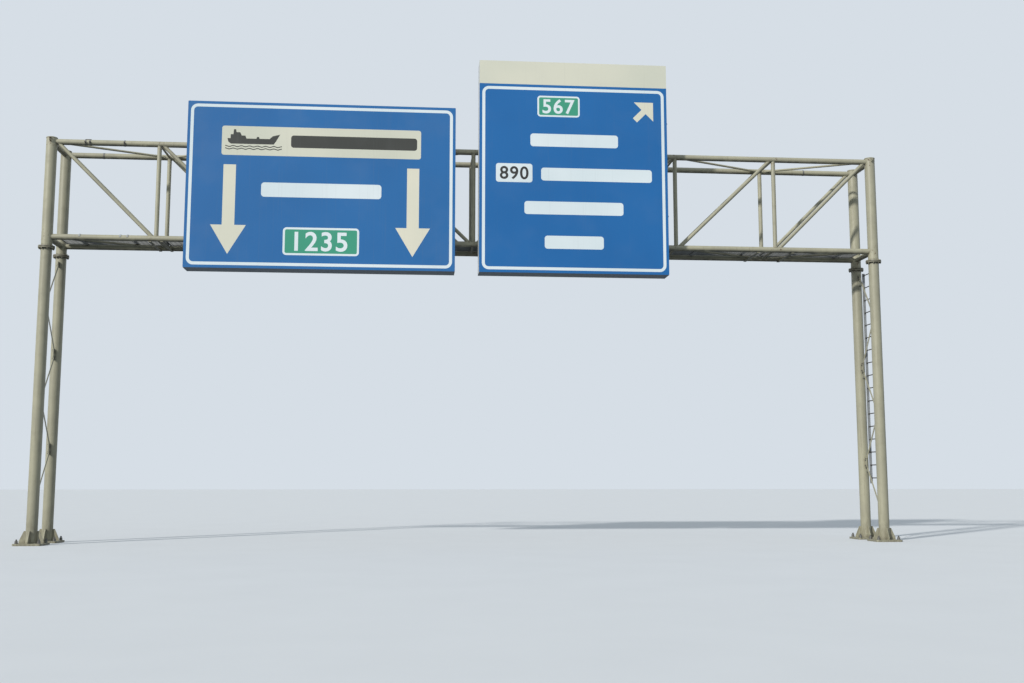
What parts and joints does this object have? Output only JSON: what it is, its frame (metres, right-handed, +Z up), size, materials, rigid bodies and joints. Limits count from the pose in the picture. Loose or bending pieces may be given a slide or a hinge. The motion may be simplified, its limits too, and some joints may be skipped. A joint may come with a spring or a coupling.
{
  "type": "overhead sign gantry",
  "caption": "Portal gantry over a carriageway: round legs in laced pairs carry a box truss of round tubes with deep box signs, a walkway inside the truss and a ladder.",
  "frame": {"origin": "on the ground, in the middle of the gantry's outline", "axes": "+Z up, +X along the span towards the laddered legs, -Y towards the oncoming traffic that reads the signs"},
  "size_m": [18, 1.8604, 10.04],
  "materials": {
    "frame_paint": "satin",
    "galvanised": "matte",
    "sign_face": "satin",
    "sign_casing": "satin"
  },
  "bodies": {
    "root": {"back_diagonals": "frame_paint", "back_uprights": "frame_paint", "base_gussets": "frame_paint", "base_plates": "frame_paint", "bottom_bracing": "frame_paint", "bottom_struts": "frame_paint", "bottom_ties": "frame_paint", "chord_back_bottom": "frame_paint", "chord_back_top": "frame_paint", "chord_front_bottom": "frame_paint", "chord_front_top": "frame_paint", "column_flanges": "frame_paint", "column_left_back": "frame_paint", "column_left_front": "frame_paint", "column_right_back": "frame_paint", "column_right_front": "frame_paint", "end_struts": "frame_paint", "front_diagonals": "frame_paint", "front_uprights": "frame_paint", "lacing_plates": "frame_paint", "ladder_brackets": "galvanised", "ladder_rungs": "galvanised", "ladder_stiles": "galvanised", "left_sign_face": "sign_face", "left_sign_rails": "galvanised", "left_sign_sides": "sign_casing", "leg_lacing": "frame_paint", "lifting_lugs": "frame_paint", "post_caps": "frame_paint", "post_flanges": "frame_paint", "post_left_back": "frame_paint", "post_left_front": "frame_paint", "post_right_back": "frame_paint", "post_right_front": "frame_paint", "right_cap_face": "sign_casing", "right_cap_sides": "sign_casing", "right_sign_face": "sign_face", "right_sign_rails": "galvanised", "right_sign_sides": "sign_casing", "sign_backs": "sign_casing", "sign_saddles": "galvanised", "top_bracing": "frame_paint", "top_struts": "frame_paint", "walkway_bearers": "galvanised", "walkway_grating": "galvanised"}
  },
  "joints": []
}
